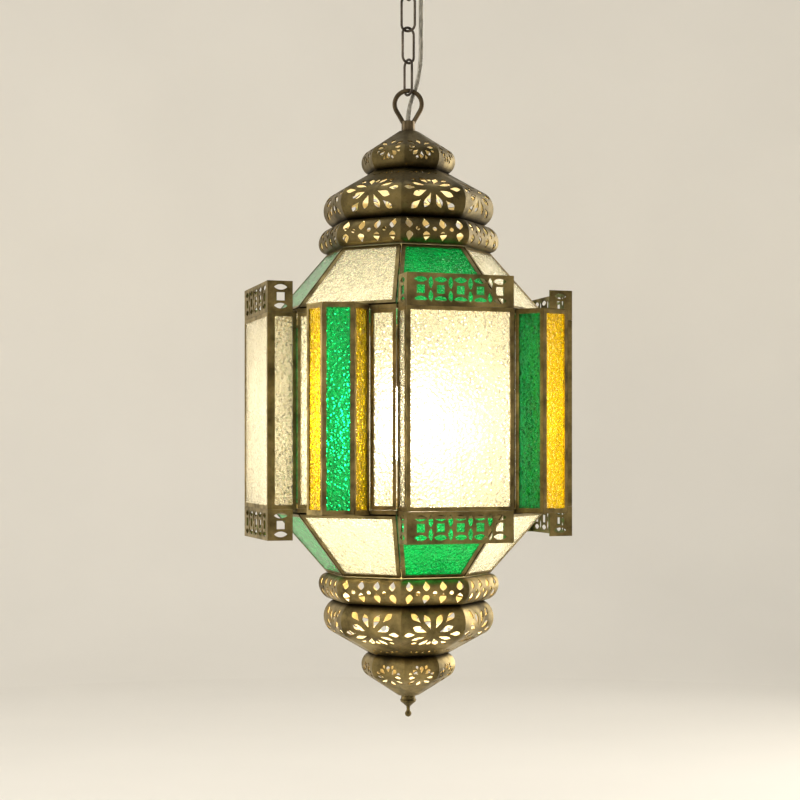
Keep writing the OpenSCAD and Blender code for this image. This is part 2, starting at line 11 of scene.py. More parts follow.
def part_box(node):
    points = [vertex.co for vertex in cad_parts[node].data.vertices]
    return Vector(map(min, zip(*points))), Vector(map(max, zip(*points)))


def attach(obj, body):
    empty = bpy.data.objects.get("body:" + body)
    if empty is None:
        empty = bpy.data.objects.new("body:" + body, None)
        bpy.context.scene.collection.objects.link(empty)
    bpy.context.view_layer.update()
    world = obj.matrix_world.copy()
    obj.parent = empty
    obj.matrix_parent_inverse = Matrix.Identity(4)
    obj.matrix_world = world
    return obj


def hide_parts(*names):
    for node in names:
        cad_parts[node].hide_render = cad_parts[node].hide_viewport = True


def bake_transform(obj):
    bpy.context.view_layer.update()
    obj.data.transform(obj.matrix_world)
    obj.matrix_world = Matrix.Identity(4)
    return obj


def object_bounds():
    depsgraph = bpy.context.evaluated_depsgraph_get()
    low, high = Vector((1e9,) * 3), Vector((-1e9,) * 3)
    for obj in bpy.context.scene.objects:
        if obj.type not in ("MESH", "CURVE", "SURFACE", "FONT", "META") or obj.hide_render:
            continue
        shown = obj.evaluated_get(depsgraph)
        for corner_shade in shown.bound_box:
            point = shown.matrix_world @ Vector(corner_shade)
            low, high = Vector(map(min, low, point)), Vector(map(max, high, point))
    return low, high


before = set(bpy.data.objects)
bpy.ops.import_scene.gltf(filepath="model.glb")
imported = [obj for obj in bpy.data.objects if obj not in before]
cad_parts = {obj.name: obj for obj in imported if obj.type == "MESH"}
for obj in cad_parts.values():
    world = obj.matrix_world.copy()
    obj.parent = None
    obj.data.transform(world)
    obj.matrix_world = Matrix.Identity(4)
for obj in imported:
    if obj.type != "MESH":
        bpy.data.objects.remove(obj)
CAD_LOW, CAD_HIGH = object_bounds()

bl_info = {
    "name": "Stained Glass Lantern Finishes",
    "version": (1, 0, 0),
    "blender": (4, 5, 0),
    "location": "View3D > Sidebar > Lantern",
    "description": "Pierced brass tops, glass, metal finishes, supply cord and lamp for a hanging lantern",
    "category": "Object",
}

# The body's middle height, from which every other height is counted
MIDDLE = (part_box("upper_rim")[1].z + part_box("lower_rim")[0].z) / 2
HALF_CORNER = math.radians(22.5)
FACES = [45 * k for k in range(8)]
# Edges folded more sharply than this stay crisp under smooth shading
SHARP_FOLD = math.radians(32)

GLASS_NODES = {
    "clear": ["upper_roof_clear_glass", "lower_roof_clear_glass", "front_box_glass", "right_box_glass",
              "rear_box_glass", "left_box_glass", "strip_glass", "door_glass"],
    "green": ["upper_roof_green_glass", "lower_roof_green_glass", "bay_green_glass"],
    "amber": ["bay_yellow_glass"],
}
CAME_NODES = ["upper_roof_frame", "lower_roof_frame", "upper_rim", "lower_rim", "front_box_frames",
              "right_box_frames", "rear_box_frames", "left_box_frames", "front_right_bay_frames",
              "rear_right_bay_frames", "rear_left_bay_frames", "front_left_bay_frames", "door_frame"]
GALLERY_NODES = ["upper_galleries", "lower_galleries", "upper_cover_plates", "lower_cover_plates"]
FITTING_NODES = ["door_hinges", "latch_keeper", "latch_arm", "lock_nuts", "finial"]
BRONZE_NODES = ["ceiling_canopy", "canopy_hook", "hanging_ring"]
CHAIN_NODES = ["chain_link_upper", "chain_link_middle", "chain_link_lower"]
STEEL_NODES = ["mounting_bracket", "hook_nut", "support_tube"]


# ------------------------------------------------------------------ settings

class CordSettings(PropertyGroup):
    diameter: FloatProperty(name="Diameter", description="Diameter of the supply cord",
                            default=0.0045, min=0.003, max=0.008, unit="LENGTH")
    sides: IntProperty(name="Sides", description="Points round the cord", default=20, min=8, max=48)
    colour: FloatVectorProperty(name="Colour", description="Tint of the clear sleeve", subtype="COLOR",
                                size=3, default=(0.38, 0.36, 0.30), min=0, max=1)


class TierSettings(PropertyGroup):
    sheet: FloatProperty(name="Sheet", description="Thickness of the pierced sheet",
                         default=0.0009, min=0.0004, max=0.0012, unit="LENGTH")
    mesh_step: FloatProperty(name="Mesh step", description="Spacing of the points that bend the sheet",
                             default=0.003, min=0.0015, max=0.006, unit="LENGTH")
    colour: FloatVectorProperty(name="Brass", description="Colour of the polished parts", subtype="COLOR",
                                size=3, default=(0.46, 0.35, 0.14), min=0, max=1)
    patina: FloatVectorProperty(name="Patina", description="Colour of the darkened parts", subtype="COLOR",
                                size=3, default=(0.13, 0.10, 0.043), min=0, max=1)


class GlassSettings(PropertyGroup):
    clear: FloatVectorProperty(name="Clear", description="Tint of the clear panes", subtype="COLOR",
                               size=3, default=(0.87, 0.845, 0.73), min=0, max=1)
    green: FloatVectorProperty(name="Green", description="Tint of the green panes", subtype="COLOR",
                               size=3, default=(0.004, 0.56, 0.19), min=0, max=1)
    amber: FloatVectorProperty(name="Amber", description="Tint of the amber panes", subtype="COLOR",
                               size=3, default=(0.97, 0.73, 0.008), min=0, max=1)
    pebble: FloatProperty(name="Pebble", description="Size of the pebbles in the glass",
                          default=0.0028, min=0.001, max=0.01, unit="LENGTH")


class LampSettings(PropertyGroup):
    watts: FloatProperty(name="Power", description="Radiant power of the lamp", default=1.5, min=0, max=200,
                         unit="POWER")
    glow: FloatProperty(name="Glow", description="Brightness of the bulb's frosted glass", default=32.0,
                        min=0, max=500)
    colour: FloatVectorProperty(name="Light", description="Colour of the light", subtype="COLOR",
                                size=3, default=(1.0, 0.88, 0.68), min=0, max=1)


class StudioSettings(PropertyGroup):
    distance: FloatProperty(name="Camera distance", description="From the lantern's axis to the camera",
                            default=1.503, min=0.8, max=5, unit="LENGTH")
    azimuth: FloatProperty(name="Camera azimuth", description="Turn of the camera about the lantern",
                           default=math.radians(-17.9), subtype="ANGLE")
    below: FloatProperty(name="Camera below", description="How far the camera is under the body's middle",
                         default=0.042, min=0, max=1, unit="LENGTH")
    lens: FloatProperty(name="Lens", description="Focal length in millimetres", default=71.2, min=20, max=200)
    backdrop: FloatVectorProperty(name="Backdrop", description="Colour of the floor and wall",
                                  subtype="COLOR", size=3, default=(0.84, 0.81, 0.75), min=0, max=1)
    key: FloatProperty(name="Key light", description="Power of the large side lights", default=34.0, min=0,
                       max=1000, unit="POWER")


class LanternSettings(PropertyGroup):
    cord: PointerProperty(name="Cord", description="Supply cord", type=CordSettings)
    tiers: PointerProperty(name="Tiers", description="Pierced brass tops", type=TierSettings)
    glass: PointerProperty(name="Glass", description="Stained glass", type=GlassSettings)
    lamp: PointerProperty(name="Lamp", description="Bulb and its light", type=LampSettings)
    studio: PointerProperty(name="Studio", description="Floor, lights and camera", type=StudioSettings)


def settings():
    return bpy.context.scene.lantern


# ------------------------------------------------------------------ mesh helpers

def link_mesh(name, bm, body):
    """Turns a bmesh into a smooth-shaded piece with sharp folds, riding on a body."""
    mesh = bpy.data.meshes.new(name)
    bm.to_mesh(mesh)
    bm.free()
    piece = bpy.data.objects.new(name, mesh)
    bpy.context.scene.collection.objects.link(piece)
    mesh.shade_smooth()
    mesh.set_sharp_from_angle(angle=SHARP_FOLD)
    if body:
        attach(piece, body)
    return piece


def bake(piece):
    """Applies a piece's modifiers to its mesh."""
    depsgraph = bpy.context.evaluated_depsgraph_get()
    mesh = bpy.data.meshes.new_from_object(piece.evaluated_get(depsgraph))
    piece.modifiers.clear()
    piece.data = mesh
    mesh.shade_smooth()
    mesh.set_sharp_from_angle(angle=SHARP_FOLD)


def paint(piece, material):
    """Puts one material in every slot of a piece, or in a first slot if it has none."""
    slots = piece.material_slots
    if not slots:
        piece.data.materials.append(material)
    for slot in slots:
        slot.material = material


def finish_nodes(names, material):
    """Gives CAD nodes a finish through their own material slots."""
    for name in names:
        paint(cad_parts[name], material)


# ------------------------------------------------------------------ material helpers

class Finish:
    """A node material that is built step by step and ends in a Principled shader."""

    def __init__(self, name):
        self.material = bpy.data.materials.new(name)
        self.material.use_nodes = True
        self.tree = self.material.node_tree
        self.tree.nodes.clear()
        self.output = self.node("ShaderNodeOutputMaterial")
        self.shader = self.node("ShaderNodeBsdfPrincipled")
        self.link(self.shader.outputs[0], self.output.inputs["Surface"])
        self.place = self.node("ShaderNodeTexCoord").outputs["Object"]

    def node(self, kind, **values):
        made = self.tree.nodes.new(kind)
        for key, value in values.items():
            setattr(made, key, value)
        return made

    def link(self, source, target):
        self.tree.links.new(source, target)

    def set(self, **values):
        """Constant values on the shader's own sockets, by socket name with _ for a space."""
        for key, value in values.items():
            self.shader.inputs[key.replace("_", " ")].default_value = value

    def noise(self, size, detail=4.0, rough=0.55, stretch=(1, 1, 1)):
        """A noise pattern whose blobs are about size metres across."""
        mapping = self.node("ShaderNodeMapping")
        mapping.inputs["Scale"].default_value = [s / size for s in stretch]
        self.link(self.place, mapping.inputs["Vector"])
        noise = self.node("ShaderNodeTexNoise")
        noise.inputs["Scale"].default_value = 1.0
        noise.inputs["Detail"].default_value = detail
        noise.inputs["Roughness"].default_value = rough
        self.link(mapping.outputs[0], noise.inputs["Vector"])
        return noise.outputs["Fac"]

    def pebbles(self, size):
        """Distance from the middle of the nearest pebble, with soft edges."""
        cells = self.node("ShaderNodeTexVoronoi", feature="SMOOTH_F1")
        cells.inputs["Scale"].default_value = 1.0 / size
        cells.inputs["Smoothness"].default_value = 0.6
        self.link(self.place, cells.inputs["Vector"])
        return cells.outputs["Distance"]

    def spread(self, value, low, high, start, end):
        """Maps a pattern's low to high on to start to end, clamped."""
        ramp = self.node("ShaderNodeMapRange")
        for key, number in zip(("From Min", "From Max", "To Min", "To Max"), (low, high, start, end)):
            ramp.inputs[key].default_value = number
        self.link(value, ramp.inputs["Value"])
        return ramp.outputs["Result"]

    def combine(self, kind, a, b):
        """One sum or product of two values, each a number or a socket."""
        maths = self.node("ShaderNodeMath", operation=kind)
        for value, socket in ((a, maths.inputs[0]), (b, maths.inputs[1])):
            if isinstance(value, (int, float)):
                socket.default_value = value
            else:
                self.link(value, socket)
        return maths.outputs[0]

    def mix(self, factor, a, b):
        """A mix of two colours, each a tuple or a socket."""
        mixer = self.node("ShaderNodeMix", data_type="RGBA")
        self.link(factor, mixer.inputs["Factor"])
        for value, socket in ((a, mixer.inputs[6]), (b, mixer.inputs[7])):
            if isinstance(value, bpy.types.NodeSocket):
                self.link(value, socket)
            else:
                socket.default_value = (*value[:3], 1)
        return mixer.outputs[2]

    def bump(self, height, strength, distance, under=None):
        """A normal raised by a pattern, on top of an earlier normal if one is given."""
        made = self.node("ShaderNodeBump")
        made.inputs["Strength"].default_value = strength
        made.inputs["Distance"].default_value = distance
        self.link(height, made.inputs["Height"])
        if under is not None:
            self.link(under, made.inputs["Normal"])
        return made.outputs["Normal"]

    def let_lamps_through(self, colour):
        """Shadow rays pass through the surface, tinted, so that a lamp behind it lights what is in front."""
        shown = self.output.inputs["Surface"].links[0].from_socket
        clear = self.node("ShaderNodeBsdfTransparent")
        if isinstance(colour, bpy.types.NodeSocket):
            self.link(colour, clear.inputs["Color"])
        else:
            clear.inputs["Color"].default_value = (*colour, 1)
        through = self.node("ShaderNodeMixShader")
        self.link(self.node("ShaderNodeLightPath").outputs["Is Shadow Ray"], through.inputs[0])
        self.link(shown, through.inputs[1])
        self.link(clear.outputs[0], through.inputs[2])
        self.link(through.outputs[0], self.output.inputs["Surface"])

    def cavities(self, reach):
        """1 in the open and less in corners closer than reach."""
        shade = self.node("ShaderNodeAmbientOcclusion", samples=6, only_local=False)
        shade.inputs["Distance"].default_value = reach
        return shade.outputs["AO"]


def scaled(colour, k):
    """A colour made k times as bright, up to white."""
    return tuple(min(1.0, c * k) for c in colour)


def patinated_metal(name, bright, dark, grain=0.006, rough=(0.32, 0.6), cavity=0.006):
    """Antique metal: tarnish in clouds and specks, painted shade darkening its corners, with fine handling
    marks.
    """
    f = Finish(name)
    clouds = f.spread(f.noise(grain * 5, 5, 0.62), 0.34, 0.68, 0, 1)
    specks = f.spread(f.noise(grain * 0.35, 3, 0.7), 0.58, 0.74, 0, 1)
    tone = f.mix(clouds, dark, bright)
    tone = f.mix(f.combine("MULTIPLY", specks, 0.55), tone, scaled(dark, 0.55))
    # Painted shade: the colour darkens where the occlusion mask finds corners
    corner_shade = f.spread(f.cavities(cavity), 0.35, 0.95, 0.9, 0)
    tone = f.mix(corner_shade, tone, scaled(dark, 0.3))
    f.link(tone, f.shader.inputs["Base Color"])
    streaks = f.noise(grain * 0.5, 3, 0.6, stretch=(1, 1, 0.15))
    polish = f.combine("ADD", clouds, f.combine("MULTIPLY", streaks, 0.5))
    f.link(f.spread(polish, 0.1, 1.3, rough[1], rough[0]), f.shader.inputs["Roughness"])
    fine = f.bump(f.noise(grain * 0.2, 4, 0.6), 0.35, 0.00012)
    f.link(f.bump(f.noise(grain * 2.2, 3, 0.5), 0.5, 0.0005, fine), f.shader.inputs["Normal"])
    f.set(Metallic=1.0)
    return f.material


def moulded_plastic(name, colour, rough):
    """Moulded fittings: faintly mottled, with a fine grain."""
    grain = 0.0012
    f = Finish(name)
    mottle = f.spread(f.noise(grain * 6, 4, 0.6), 0.3, 0.7, 0, 1)
    f.link(f.mix(mottle, scaled(colour, 0.75), scaled(colour, 1.25)), f.shader.inputs["Base Color"])
    f.link(f.spread(mottle, 0, 1, rough * 0.8, min(1.0, rough * 1.25)), f.shader.inputs["Roughness"])
    f.link(f.bump(f.noise(grain, 3, 0.6), 0.25, 0.0001), f.shader.inputs["Normal"])
    f.set(Specular_IOR_Level=0.5)
    return f.material


def pebbled_glass(name, tint, pebble, streak):
    """Hand-rolled glass: pebbles on its face, streaks of deeper colour, and light held inside it."""
    body = 0.09
    depth = 0.003
    f = Finish(name)
    swirl = f.spread(f.noise(pebble * 7, 3, 0.6, stretch=(1, 1, 0.45)), 0.3, 0.7, 0, 1)
    cells = f.pebbles(pebble)
    seeds = f.spread(cells, 0.1, 0.62, 0, 1)
    colour = f.mix(swirl, scaled(tint, 1 - streak), scaled(tint, 1 + streak / 2))
    colour = f.mix(f.combine("MULTIPLY", seeds, 0.4), colour, scaled(tint, 1 - 1.8 * streak))
    f.link(colour, f.shader.inputs["Base Color"])
    ripple = f.bump(f.noise(pebble * 3.2, 2, 0.5), 0.6, depth * 1.2)
    normal = f.bump(cells, 0.85, depth, ripple)
    f.link(normal, f.shader.inputs["Normal"])
    f.link(f.spread(swirl, 0, 1, 0.1, 0.2), f.shader.inputs["Roughness"])
    f.set(Transmission_Weight=0.92, IOR=1.46, Specular_IOR_Level=0.5)

    milk = f.node("ShaderNodeBsdfTranslucent")
    f.link(colour, milk.inputs["Color"])
    f.link(normal, milk.inputs["Normal"])
    edge = f.node("ShaderNodeLayerWeight").outputs["Facing"]
    pane = f.node("ShaderNodeMixShader")
    f.link(f.spread(edge, 0.55, 0.95, body, body * 0.25), pane.inputs[0])
    f.link(f.shader.outputs[0], pane.inputs[1])
    f.link(milk.outputs[0], pane.inputs[2])

    sheen = f.node("ShaderNodeBsdfAnisotropic")
    sheen.inputs["Color"].default_value = (0.72, 0.71, 0.64, 1)
    sheen.inputs["Roughness"].default_value = 0.3
    f.link(normal, sheen.inputs["Normal"])
    skimmed = f.node("ShaderNodeMixShader")
    f.link(f.spread(edge, 0.78, 0.97, 0, 0.75), skimmed.inputs[0])
    f.link(pane.outputs[0], skimmed.inputs[1])
    f.link(sheen.outputs[0], skimmed.inputs[2])

    f.link(skimmed.outputs[0], f.output.inputs["Surface"])
    f.let_lamps_through(f.mix(swirl, scaled(tint, 1 - streak), tint))
    return f.material


# ------------------------------------------------------------------ supply cord

# Each point is to the right along the hanging ring, behind it, and above the body's middle, in metres
CORD_SIDE = 0.0122
CORD_ROUTE = [
    (CORD_SIDE, 0, 0.440), (CORD_SIDE, 0, 0.425), (CORD_SIDE, 0, 0.405), (CORD_SIDE, 0, 0.390),
    (CORD_SIDE, 0, 0.382), (CORD_SIDE, 0, 0.372), (CORD_SIDE, 0, 0.362), (CORD_SIDE, 0, 0.351),
    (CORD_SIDE, 0, 0.345), (0.012, 0.0002, 0.338), (0.0114, 0.001, 0.330), (0.010, 0.0028, 0.321),
    (0.0084, 0.0048, 0.314), (0.0066, 0.0058, 0.308), (0.0048, 0.0055, 0.303), (0.0032, 0.0042, 0.298),
    (0.0018, 0.0024, 0.292), (0.0008, 0.001, 0.287), (0.0002, 0.0002, 0.282), (0, 0, 0.277),
    (0, 0, 0.250), (0, 0, 0.200), (0, 0, 0.150), (0, 0, 0.110), (0, 0, 0.074)]
CORD_STRETCHES = [
    ("supply_cord_top", 0, 4, "ceiling", "link_upper"),
    ("supply_cord_upper", 4, 7, "link_upper", "link_middle"),
    ("supply_cord_lower", 7, 11, "link_middle", "link_lower"),
    ("supply_cord_neck", 11, 24, "link_lower", "lantern"),
]
RING_TURN = math.radians(-18)
# Tube rings between two route points
CORD_STEPS = 4


def smooth_route(points, steps):
    """A Catmull-Rom curve through points, with its sub-points grouped so that point i is at i * steps."""
    ends = [points[0] * 2 - points[1], *points, points[-1] * 2 - points[-2]]
    made = []
    for a, b, c, d in zip(ends, ends[1:], ends[2:], ends[3:]):
        for k in range(steps):
            t = k / steps
            made.append(0.5 * (2 * b + (c - a) * t + (2 * a - 5 * b + 4 * c - d) * t * t
                               + (3 * b - a - 3 * c + d) * t * t * t))
    return [*made, points[-1]]


def tube(bm, points, first, last, radius, sides):
    """Sweeps a round tube along points first to last, its ends square to the whole route."""
    rings = []
    for i in range(first, last + 1):
        along = (points[min(i + 1, len(points) - 1)] - points[max(i - 1, 0)]).normalized()
        u = along.cross(Vector((0, 1, 0))).normalized()
        v = along.cross(u)
        rings.append([bm.verts.new(points[i] + radius * (math.cos(a) * u + math.sin(a) * v))
                      for a in (2 * math.pi * k / sides for k in range(sides))])
    for one, two in zip(rings, rings[1:]):
        for k in range(sides):
            bm.faces.new((one[k], two[k], two[(k + 1) % sides], one[(k + 1) % sides]))
    bm.faces.new(rings[0])
    bm.faces.new(list(reversed(rings[-1])))


def clear_sleeve(colour):
    """Clear plastic over stranded wire: soft, slightly cloudy and glossy."""
    f = Finish("clear_sleeve")
    strands = f.noise(0.0011, 2, 0.5, stretch=(1, 1, 0.12))
    cloud = f.spread(f.noise(0.008, 3, 0.6), 0.3, 0.7, 0, 1)
    tone = f.mix(f.spread(strands, 0.4, 0.62, 0, 1), scaled(colour, 0.55), scaled(colour, 1.5))
    tone = f.mix(f.combine("MULTIPLY", cloud, 0.4), tone, scaled(colour, 1.2))
    f.link(tone, f.shader.inputs["Base Color"])
    f.link(f.spread(cloud, 0, 1, 0.16, 0.3), f.shader.inputs["Roughness"])
    f.link(f.bump(strands, 0.3, 0.0002), f.shader.inputs["Normal"])
    f.set(Transmission_Weight=0.25, IOR=1.5, Coat_Weight=0.5, Coat_Roughness=0.12)
    return f.material


class LANTERN_OT_supply_cord(Operator):
    """Make the clear supply cord that runs beside the chain and into the neck"""
    bl_idname = "lantern.supply_cord"
    bl_label = "Supply Cord"

    def execute(self, context):
        cord = settings().cord
        turn = Matrix.Rotation(RING_TURN, 3, "Z")
        lift = Vector((0, 0, MIDDLE))
        points = smooth_route([turn @ Vector(p) + lift for p in CORD_ROUTE], CORD_STEPS)
        sleeve = clear_sleeve(cord.colour)
        for name, first, last, upper, lower in CORD_STRETCHES:
            bm = bmesh.new()
            tube(bm, points, first * CORD_STEPS, last * CORD_STEPS, cord.diameter / 2, cord.sides)
            bmesh.ops.recalc_face_normals(bm, faces=bm.faces)
            piece = link_mesh(f"{name}_sleeve", bm, None)
            paint(piece, sleeve)
            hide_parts(name)
            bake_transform(piece)
        return {"FINISHED"}


# ------------------------------------------------------------------ pierced brass tops

def arc(radius, height, bend, a0, a1, count):
    """Points (corner radius, height) on an arc of that bend about (radius, height)."""
    angles = [math.radians(a0 + (a1 - a0) * i / count) for i in range(count + 1)]
    return [(radius + bend * math.cos(a), height + bend * math.sin(a)) for a in angles]


def roll_outline(height):
    """Half-round roll, from its inner lip at the roof to its inner lip at the dome."""
    foot_lip, top_lip = 0.067, 0.062
    corner_shade, lean, bulge = 0.07475, 0.00225, 0.01075
    half = height / 2
    steps = 18
    curve = []
    for i in range(steps + 1):
        q = math.pi * (i / steps - 0.5)
        curve.append((corner_shade - lean * math.sin(q) + bulge * math.cos(q), half + half * math.sin(q)))
    return [(foot_lip, 0), *curve, (top_lip, height)]


def bowl_outline(height, bend, shoulder, foot_angle, top, foot_lip, top_lip):
    """A round shoulder, then a straight slope up to corner radius top, with heights above its foot."""
    shoulder_angle, curve_steps, slope_steps = 50, 14, 5
    rise = bend * math.sin(math.radians(foot_angle))
    curve = arc(shoulder, rise, bend, -foot_angle, shoulder_angle, curve_steps)
    r, z = curve[-1]
    slope = [(r + (top - r) * k / slope_steps, z + (height - z) * k / slope_steps)
             for k in range(1, slope_steps + 1)]
    return [(foot_lip, curve[0][1]), *curve, *slope, (top_lip, slope[-1][1])]


def dome_outline(height):
    return bowl_outline(height, bend=0.0183, shoulder=0.0627, foot_angle=62, top=0.039, foot_lip=0.062,
                        top_lip=0.029)


def cap_outline(height):
    return bowl_outline(height, bend=0.0133, shoulder=0.03135, foot_angle=60, top=0.0105, foot_lip=0.028,
                        top_lip=0.0059)


class Facet:
    """One of a tier's eight bent faces, laid out flat: across it is x, and up it is s along its bend."""

    def __init__(self, outline):
        self.line = [(r * math.cos(HALF_CORNER), z) for r, z in outline]
        self.runs = [0.0]
        for (d0, z0), (d1, z1) in zip(self.line, self.line[1:]):
            self.runs.append(self.runs[-1] + math.hypot(d1 - d0, z1 - z0))

    def at(self, s):
        """Distance from the axis and height at s."""
        s = min(max(s, 0.0), self.runs[-1])
        for i in range(len(self.line) - 1):
            if s <= self.runs[i + 1] or i == len(self.line) - 2:
                k = (s - self.runs[i]) / (self.runs[i + 1] - self.runs[i])
                (d0, z0), (d1, z1) = self.line[i], self.line[i + 1]
                return d0 + (d1 - d0) * k, z0 + (z1 - z0) * k

    def half_width(self, s):
        """Half the facet's width at s."""
        return self.at(s)[0] * math.tan(HALF_CORNER)

    def s_of_height(self, z):
        """Where the outer wall, between the two lips, reaches height z."""
        for i in range(1, len(self.line) - 2):
            z0, z1 = self.line[i][1], self.line[i + 1][1]
            if z0 <= z <= z1 and z1 > z0:
                return self.runs[i] + (z - z0) / (z1 - z0) * (self.runs[i + 1] - self.runs[i])
        raise ValueError(f"the facet has no outer wall at height {z}")


def petal(x, s, angle, near, far, width, count=7):
    """A teardrop hole that points at (x, s) and widens outward, from near to far along angle degrees."""
    a = math.radians(angle)
    along, across = (math.cos(a), math.sin(a)), (-math.sin(a), math.cos(a))
    side = []
    for i in range(count + 1):
        t = i / count
        side.append((near + (far - near) * t, width / 2 * math.sin(math.pi * t ** 1.7)))
    edge = side + [(run, -wide) for run, wide in reversed(side[1:-1])]
    return [(x + along[0] * run + across[0] * wide, s + along[1] * run + across[1] * wide)
            for run, wide in edge]


def round_hole(x, s, radius):
    count = 12
    return [(x + radius * math.cos(a), s + radius * math.sin(a)) for a in
            (2 * math.pi * k / count for k in range(count))]


def roll_holes(facet):
    """Pears by the roof, long teardrops by the dome, and small rounds between the pairs."""
    middle = facet.s_of_height(facet.line[-1][1] / 2)
    holes = []
    for x in (-0.024, -0.008, 0.008, 0.024):
        holes.append(petal(x, middle + 0.0140, -90, 0.0, 0.0132, 0.0070))
        holes.append(petal(x, middle - 0.0122, 90, 0.0, 0.0106, 0.0068))
    for x in (-0.016, 0.0, 0.016):
        holes.append(round_hole(x, middle + 0.0006, 0.0021))
    return holes


def dome_holes(facet):
    """A flower of fifteen petals with a row of small rounds above it."""
    s = facet.s_of_height(0.0261)
    holes = [petal(0, s, 22.5 + 45 * k, 0.0052, 0.0208, 0.0062) for k in range(8)]
    holes += [petal(0, s, a, 0.0165, 0.0292, 0.0062) for a in (225, 315)]
    holes += [petal(0, s, a, 0.0150, 0.0270, 0.0056) for a in (0, 180)]
    holes += [petal(0, s, a, 0.0150, 0.0235, 0.0046) for a in (45, 135)]
    holes.append(petal(0, s, 90, 0.0095, 0.0185, 0.0046))
    row = facet.s_of_height(facet.line[-1][1] - 0.0042)
    for x, radius in ((-0.0118, 0.0013), (-0.006, 0.0016), (0, 0.0016), (0.006, 0.0016), (0.0118, 0.0013)):
        droop = 0.27 * abs(x)
        holes.append(round_hole(x, row - droop, radius))
    return holes


def cap_holes(facet):
    """A flower of eight petals, with four short ones between those of its lower half."""
    s = facet.s_of_height(0.0196)
    holes = [petal(0, s, a, 0.0040, 0.0120, 0.0042) for a in (0, 180, 225, 270, 315)]
    holes += [petal(0, s, a, 0.0042, 0.0150, 0.0044) for a in (45, 90, 135)]
    holes += [petal(0, s, a, 0.0085, 0.0135, 0.0028, 5) for a in (202.5, 247.5, 292.5, 337.5)]
    return holes


def inside(point, loop):
    """True if a flat point lies in a closed loop."""
    x, y = point
    crossings = False
    for (x0, y0), (x1, y1) in zip(loop, loop[1:] + loop[:1]):
        if (y0 > y) != (y1 > y) and x < x0 + (y - y0) / (y1 - y0) * (x1 - x0):
            crossings = not crossings
    return crossings


def pierced_sheet(facet, holes, step):
    """Flat triangles of a facet with its holes cut out: (points, triangles)."""
    right = [(facet.half_width(s), s) for s in facet.runs]
    rim = right + [(-x, s) for x, s in reversed(right)]
    points, edges = list(rim), [(i, (i + 1) % len(rim)) for i in range(len(rim))]
    boxes = []
    for loop in holes:
        base = len(points)
        points += loop
        edges += [(base + i, base + (i + 1) % len(loop)) for i in range(len(loop))]
        xs, ys = [p[0] for p in loop], [p[1] for p in loop]
        boxes.append((min(xs), min(ys), max(xs), max(ys)))

    def in_hole(x, s):
        return any(x0 < x < x1 and y0 < s < y1 and inside((x, s), loop)
                   for (x0, y0, x1, y1), loop in zip(boxes, holes))

    for s in facet.runs[1:-1]:
        half = facet.half_width(s)
        across = max(2, round(2 * half / step))
        row = [-half + 2 * half * k / across for k in range(1, across)]
        points += [(x, s) for x in row if not in_hole(x, s)]
    verts, _, tris, *_ = delaunay_2d_cdt([Vector(p) for p in points], edges, [], 1, 1e-7)
    kept = []
    for tri in tris:
        x = sum(verts[i].x for i in tri) / 3
        s = sum(verts[i].y for i in tri) / 3
        if not in_hole(x, s):
            kept.append(tri)
    return verts, kept


def pierced_tier(name, outline, holes, foot, up, outside, inside_face):
    """A pierced eight-sided shell from foot, upwards or, mirrored, downwards."""
    tiers = settings().tiers
    facet = Facet(outline)
    flat, tris = pierced_sheet(facet, holes(facet), tiers.mesh_step)
    bm = bmesh.new()
    for turn in FACES:
        spin = Matrix.Rotation(math.radians(turn), 3, "Z")
        made = []
        for p in flat:
            d, z = facet.at(p.y)
            made.append(bm.verts.new(spin @ Vector((p.x, -d, 0)) + Vector((0, 0, foot + up * z))))
        for tri in tris:
            bm.faces.new([made[i] for i in (tri if up > 0 else reversed(tri))])
    bmesh.ops.remove_doubles(bm, verts=bm.verts, dist=2e-6)
    loose = [v for v in bm.verts if not v.link_faces]
    bmesh.ops.delete(bm, geom=loose, context="VERTS")
    bmesh.ops.recalc_face_normals(bm, faces=bm.faces)
    piece = link_mesh(f"{name}_sheet", bm, None)
    piece.data.materials.append(outside)
    piece.data.materials.append(inside_face)
    shell = piece.modifiers.new("sheet", "SOLIDIFY")
    shell.material_offset = 1
    shell.thickness = tiers.sheet
    shell.offset = -1
    shell.use_even_offset = True
    bake(piece)
    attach(piece, "lantern")
    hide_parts(name)
    return piece


def raw_brass():
    """The brushed inner face of the pierced sheet, coloured pale as painted light for the lamp's glow inside
    the tiers.
    """
    f = Finish("raw_brass")
    haze = f.spread(f.noise(0.012, 4, 0.6), 0.3, 0.7, 0, 1)
    brushed = f.noise(0.0012, 3, 0.6, stretch=(1, 1, 0.1))
    # Painted light: the inner face is coloured far lighter than the outer face
    f.link(f.mix(haze, (0.82, 0.7, 0.44), (0.96, 0.86, 0.6)), f.shader.inputs["Base Color"])
    f.link(f.spread(haze, 0, 1, 0.42, 0.6), f.shader.inputs["Roughness"])
    f.link(f.bump(brushed, 0.3, 0.0002), f.shader.inputs["Normal"])
    f.set(Metallic=0.15)
    return f.material


TIERS = [
    ("roll", roll_outline, roll_holes),
    ("dome", dome_outline, dome_holes),
    ("cap", cap_outline, cap_holes),
]


